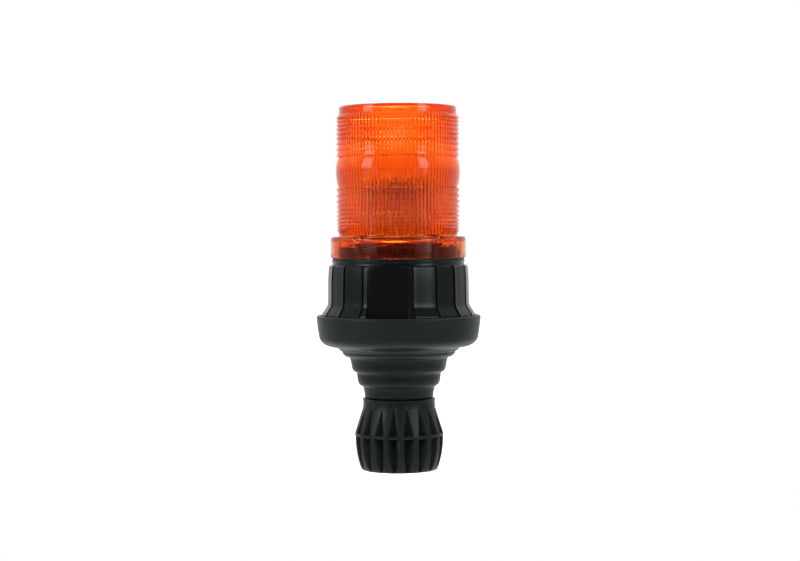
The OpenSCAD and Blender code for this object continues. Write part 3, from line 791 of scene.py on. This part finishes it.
def lens_mesh():
    columns = FLUTES * len(FLUTE_STEPS)
    degs = [360 * (i + (u + 1) / 2) / FLUTES for i in range(FLUTES) for u in FLUTE_STEPS]
    rows = []

    def notch(d):
        return max(bump01(angle_from(d, n), 7.0) for n in NOTCHES)

    def plain(r, z):
        rows.append([polar(r, d, z) for d in degs])

    def skirt(r, z, dip_r, dip_z):
        rows.append([polar(r - dip_r * notch(d), d, z - dip_z * notch(d)) for d in degs])

    # skirt, from its foot up and over the flange
    skirt(SKIRT_R - 0.7, SKIRT_Z, 0.5, 0)
    skirt(SKIRT_R - 0.15, SKIRT_Z + 0.2, 0.5, 0)
    skirt(SKIRT_R, SKIRT_Z + 0.7, 0.5, 0)
    skirt(SKIRT_R, SKIRT_Z + 5, 0.5, 0)
    skirt(SKIRT_R, SKIRT_TOP - 4.5, 0.55, 0.3)
    for i in range(7):
        a = math.radians(90 * i / 6)
        skirt(SKIRT_R - 1.9 + 1.9 * math.cos(a), SKIRT_TOP - 1.9 + 1.9 * math.sin(a), 0.6 + 0.2 * math.sin(a),
              0.4 + 1.9 * math.sin(a))
    skirt(39.6, SKIRT_TOP, 0.6, 1.7)
    skirt(38.0, SKIRT_TOP + 0.05, 0.0, 0.4)
    plain(37.6, SKIRT_TOP + 0.35)
    plain(37.4, SKIRT_TOP + 1.0)
    # lower prisms, tips towards the belt
    for i in range(10, 0, -1):
        tip = BELT_Z - BELT_HALF - prism_start(i - 1)
        foot = BELT_Z - BELT_HALF - prism_start(i)
        plain(LENS_R - PRISM_D, foot + 0.1)
        plain(LENS_R - PRISM_D * 0.5, foot + (tip - foot) * 0.45)
        plain(LENS_R - 0.04, tip - 0.3)
        plain(LENS_R - 0.1, tip - 0.12)
    # belt
    for i in range(-10, 11):
        t = math.sin(math.radians(9 * i))
        reach = BELT_HALF - EQUATOR * (1 if t > 0 else -1)
        plain(37.3 + 2.0 * (1 - t * t) ** 0.7, BELT_Z + EQUATOR + reach * t)
    # upper prisms and the rim
    for i in range(9):
        tip = BELT_Z + BELT_HALF + prism_start(i)
        foot = BELT_Z + BELT_HALF + prism_start(i + 1)
        plain(LENS_R - 0.1, tip + 0.12)
        plain(LENS_R - 0.04, tip + 0.3)
        plain(LENS_R - PRISM_D * 0.5, tip + (foot - tip) * 0.55)
        plain(LENS_R - PRISM_D, foot - 0.1)
    rim = BELT_Z + BELT_HALF + prism_start(9)
    for r, z in ((37.5, rim + 0.15), (37.15, rim + 0.45), (37.1, TOP_Z - 0.9), (36.95, TOP_Z - 0.35),
                 (36.6, TOP_Z), (34.6, TOP_Z), (34.2, TOP_Z - 0.2), (33.9, TOP_Z - 0.6), (20, TOP_Z - 0.6)):
        plain(r, z)
    top_loop = len(rows)
    plain(6, TOP_Z - 0.6)
    # inside, from the top's underside down
    plain(6, TOP_Z - 1.7)
    plain(20, TOP_Z - 1.7)
    plain(LENS_IN - 1.6, TOP_Z - 1.7)

    def fluted(z):
        """Half-round ribs that stand inwards, side by side all round."""
        chord = math.pi * LENS_IN / FLUTES
        arc_r = chord * 1.4
        base = math.sqrt(arc_r ** 2 - chord ** 2)
        rows.append([polar(LENS_IN + 0.3 - math.sqrt(arc_r ** 2 - (u * chord) ** 2) + base, d, z)
                     for d, u in zip(degs, FLUTE_STEPS * FLUTES)])
    plain(LENS_IN - 0.8, TOP_Z - 2.1)
    plain(LENS_IN - 0.4, TOP_Z - 3.4)
    fluted(TOP_Z - 5.6)
    fluted(BELT_Z)
    fluted(SKIRT_TOP + 1.6)
    plain(LENS_IN, SKIRT_TOP + 0.6)
    plain(LENS_IN + 0.2, SKIRT_TOP - 2.4)
    plain(LENS_IN + 0.5, SKIRT_TOP - 2.6)
    for r, z in ((39.4, SKIRT_TOP - 2.6), (40.2, SKIRT_TOP - 2.9), (SKIRT_IN, SKIRT_TOP - 3.6),
                 (SKIRT_IN, SKIRT_Z + 5), (SKIRT_IN, SKIRT_Z + 0.2), (40.7, SKIRT_Z)):
        skirt(r, z, 0.5, 2.0 if z > SKIRT_TOP - 3 else 0.0)
    # the faces between the two innermost rows of the top give way to one flat face on each side
    verts = [p for row in rows for p in row]
    a, b, c = (columns * (top_loop + k) for k in range(3))
    faces = [q for q in ring_faces(len(rows), columns, True) if not (a <= q[0] < b <= q[2] < c)]
    faces.append(tuple(range(a, b)))
    faces.append(tuple(reversed(range(b, c))))
    return verts, faces


v, f = lens_mesh()
piece("lens_shell", v, f, MATS["lens_amber"], "lens_body", ("lens",), 22)
lugs = []
for k in range(3):
    start = LUG_END - LUG_ARC + 2.2 + 120 * k
    lugs.append(sector(38.3, SKIRT_IN - 0.02, start, start + 20,
                       lambda d: SKIRT_Z + 1.3, lambda d: SKIRT_Z + 4.1))
v, f = join(*lugs)
piece("lens_lugs", v, f, MATS["lens_amber"], "lens_body", sharp=30, bevel=0.15)


def ramp_rib(turn):
    """A fine rib that climbs round the skirt to the bayonet's stop and drops down beside it."""
    r = SKIRT_R - 0.25
    path = [polar(r, turn - 30 + 24.6 * t / 12, SKIRT_Z + 6.0 + 3.2 * t / 12) for t in range(13)]
    path += [polar(r, turn - 4.7, SKIRT_Z + 9.2 - 5.0 * t / 4) for t in range(5)]
    return tube(path, 0.22, 8)


v, f = join(*[ramp_rib(120 * k) for k in range(3)])
piece("lens_ramps", v, f, MATS["lens_amber"], "lens_body", sharp=40)

# ------------------------------------------------------------------ leads and contact spring

LEAD_R = 0.9
COIL_R, COIL_WIRE_R = 3.2, 0.34
SLEEVE_Z = low("lead_sleeve") + 3.2
BOARD_Z = low("driver_board") - 0.5
positive = [(0, 0, 66.4), (0.8, 0, 69), (1.6, 0, 73), (1.6, 0, 80), (1.6, 0, 88), (3, 0, 93), (6.4, 0, 96),
            (8, 0, BOARD_Z)]
negative = [(-10, 0, 66.2), (-9.2, 0, 68), (-5.2, 0, 68.9), (-2.2, 0, 70.6), (-1.6, 0, 74), (-1.6, 0, 80),
            (-1.6, 0, 88), (-3, 0, 93), (-6.4, 0, 96), (-8, 0, BOARD_Z)]
for name, route, slot in (("lead_positive", positive, "lead_red"), ("lead_negative", negative, "lead_black")):
    pts = catmull(route, 10)
    below = [p for p in pts if p.z <= SLEEVE_Z]
    above = [p for p in pts if p.z > SLEEVE_Z]
    t = (SLEEVE_Z - below[-1].z) / (above[0].z - below[-1].z)
    cut = below[-1].lerp(above[0], t)
    for part, path, a, b, z0, z1 in (("low", below + [cut], "mount", "boot_link", 66.4, SLEEVE_Z - 1),
                                     ("high", [cut] + above, "boot_link", "head", SLEEVE_Z + 1, 84.0)):
        v, f = tube(path, LEAD_R, 12)
        obj = piece(name + "_" + part, v, f, MATS[slot], sharp=40)
        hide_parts(name)
        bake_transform(obj)

z0, z1 = low("contact_spring") + 0.35, high("contact_spring") - 0.35
coil = [(COIL_R * math.cos(2 * math.pi * i / 24), COIL_R * math.sin(2 * math.pi * i / 24),
         z0 + (z1 - z0) * i / 96) for i in range(97)]
v, f = tube(coil, COIL_WIRE_R, 8)
spring = piece("contact_coil", v, f, MATS["spring_steel"], "mount", ("contact_spring",), 40)
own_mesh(spring)

# ------------------------------------------------------------------ LEDs


LED_RING_R = 13.5


def dome(z, r, h, columns=20, steps=6):
    verts = []
    for i in range(steps):
        a = math.radians(90 * i / steps)
        verts += [(r * math.cos(a) * math.cos(2 * math.pi * k / columns),
                   r * math.cos(a) * math.sin(2 * math.pi * k / columns), z + h * math.sin(a))
                  for k in range(columns)]
    faces = ring_faces(steps, columns, False)
    top = len(verts)
    verts.append((0, 0, z + h))
    e = (steps - 1) * columns
    faces += [(e + k, e + (k + 1) % columns, top) for k in range(columns)]
    faces.append(tuple(reversed(range(columns))))
    return verts, faces


bases, domes = [], []
for i in range(8):
    turn = -90 + i * 45
    for part, made in ((block(-1.75, -1.75, 0, 1.75, 1.75, 0.8), bases), (dome(0.75, 1.5, 0.74), domes)):
        made.append(moved(moved(part, dx=LED_RING_R), turn, dz=LED_Z + 0.01))
v, f = join(*bases)
piece("led_bases", v, f, MATS["board_white"], "head", bevel=0.12)
v, f = join(*domes)
piece("led_domes", v, f, MATS["led_plastic"], "head", ("led_chips",), 40)

# ------------------------------------------------------------------ stage, lights and camera


def stage_floor():
    """A pale table top that reaches from in front of the object to far behind it."""
    m = Mat("floor_white")
    m.colour(m.ramp(m.noise(6.0), [(0.3, (0.86, 0.86, 0.86, 1)), (0.7, (0.88, 0.88, 0.88, 1))]))
    m.set(Roughness=0.6, Emission_Color=(1, 1, 1, 1), Emission_Strength=0.6)
    near, far, side = -100, 9000, 9000
    verts = [(-side, near, 0), (side, near, 0), (side, far, 0), (-side, far, 0)]
    obj = piece("floor", verts, [(0, 1, 2, 3)], m.mat)
    obj.visible_glossy = False


def studio_world():
    """A white room behind, dark in front, pale below, with a tall and a low soft panel at each side.

    The camera itself sees plain white."""
    world = bpy.data.worlds.new("studio")
    scene.world = world
    world.use_nodes = True
    t = world.node_tree

    def node(kind, **props):
        n = t.nodes.new(kind)
        for k, v in props.items():
            setattr(n, k, v)
        return n

    def calc(op, a, b):
        n = node("ShaderNodeMath", operation=op)
        for i, v in enumerate((a, b)):
            if isinstance(v, (int, float)):
                n.inputs[i].default_value = v
            else:
                t.links.new(v, n.inputs[i])
        return n.outputs[0]

    def ramp(fac, stops, lo, hi):
        """Grey levels at places from lo to hi."""
        place = node("ShaderNodeMapRange")
        place.inputs["From Min"].default_value = lo
        place.inputs["From Max"].default_value = hi
        t.links.new(fac, place.inputs["Value"])
        r = node("ShaderNodeValToRGB")
        els = r.color_ramp.elements
        while len(els) > 1:
            els.remove(els[-1])
        els[0].position = (stops[0][0] - lo) / (hi - lo)
        els[0].color = (stops[0][1],) * 3 + (1,)
        for at, val in stops[1:]:
            els.new((at - lo) / (hi - lo)).color = (val,) * 3 + (1,)
        t.links.new(place.outputs[0], r.inputs["Fac"])
        return r.outputs["Color"]

    sep = node("ShaderNodeSeparateXYZ")
    t.links.new(node("ShaderNodeTexCoord").outputs["Generated"], sep.inputs[0])
    turn = calc("ARCTAN2", sep.outputs["X"], calc("MULTIPLY", sep.outputs["Y"], -1.0))
    turn = calc("MULTIPLY", turn, 180 / math.pi)
    rise = calc("MULTIPLY", calc("ARCSINE", sep.outputs["Z"], 0.0), 180 / math.pi)
    room = ramp(turn, [(-180, 1.0), (-155, 0.95), (-130, 0.52), (-112, 0.37), (-90, 0.24), (-70, 0.18),
                       (-62, 0.07), (60, 0.07), (70, 0.19), (90, 0.27), (112, 0.42), (130, 0.6), (155, 0.97),
                       (180, 1.0)], -180, 180)
    ceiling = ramp(rise, [(50, 0.0), (85, 1.0)], -90, 90)
    ground = ramp(rise, [(-80, 0.75), (-45, 0.50), (-25, 0.22), (-10, 0.0)], -90, 90)
    tall = ramp(turn, [(-73, 0.0), (-69, 1.0), (-52, 1.0), (-48, 0.0),
                       (39, 0.0), (43, 1.0), (57, 1.0), (61, 0.0)], -180, 180)
    tall_up = ramp(rise, [(3, 0.0), (9, 1.0), (34, 1.0), (40, 0.0)], -90, 90)
    base = ramp(turn, [(-68, 0.0), (-65, 0.15), (-39, 0.15), (-35, 0.0), (28, 0.0), (32, 0.10), (46, 0.11),
                       (50, 0.34), (56, 0.34), (59, 0.0)], -180, 180)
    base_up = ramp(rise, [(-8, 0.0), (-3, 1.0), (5, 1.0), (9, 0.0)], -90, 90)
    panels = calc("ADD", calc("MULTIPLY", tall, tall_up), calc("MULTIPLY", base, base_up))
    lit = calc("ADD", calc("MULTIPLY", room, calc("SUBTRACT", 1.0, calc("MULTIPLY", ceiling, 0.6))),
               calc("MULTIPLY", ceiling, 0.1))
    lit = calc("ADD", calc("ADD", lit, ground), calc("MULTIPLY", panels, 3.2))
    seen = node("ShaderNodeLightPath").outputs["Is Camera Ray"]
    lit = calc("ADD", calc("MULTIPLY", lit, calc("SUBTRACT", 1.0, seen)), seen)
    t.links.new(lit, t.nodes["Background"].inputs["Strength"])
    t.nodes["Background"].inputs["Color"].default_value = (1, 1, 1, 1)


def area_light(name, place, target, width, height, power):
    light = bpy.data.lights.new(name, "AREA")
    light.shape = "RECTANGLE"
    light.size, light.size_y, light.energy = width, height, power
    obj = bpy.data.objects.new(name, light)
    scene.collection.objects.link(obj)
    obj.location = place
    obj.rotation_euler = (Vector(target) - Vector(place)).to_track_quat("-Z", "Y").to_euler()
    return obj


def camera():
    top, bottom = cad_box[1][2], cad_box[0][2]
    eye_z = bottom + (top - bottom) * 0.657
    aim = Vector((0.001, 0, bottom + (top - bottom) * 0.522))
    cam = bpy.data.cameras.new("camera")
    cam.lens = 78.4
    cam.sensor_width = 36
    obj = bpy.data.objects.new("camera", cam)
    scene.collection.objects.link(obj)
    obj.location = (0, -1.105, eye_z)
    look = (aim - obj.location).to_track_quat("-Z", "Y")
    lean = Quaternion((0, 0, 1), math.radians(-0.3))
    obj.rotation_euler = (look @ lean).to_euler()
    scene.camera = obj


stage_floor()
studio_world()
area_light("top_light", (0, 0.5, 1.3), (0, 0, 0.1), 1.0, 0.6, 5)
area_light("front_light", (-0.12, -0.88, 1.3), (0, 0, 0.16), 0.9, 0.45, 50).visible_glossy = False
camera()
scene.view_settings.view_transform = "Standard"
scene.view_settings.look = "None"
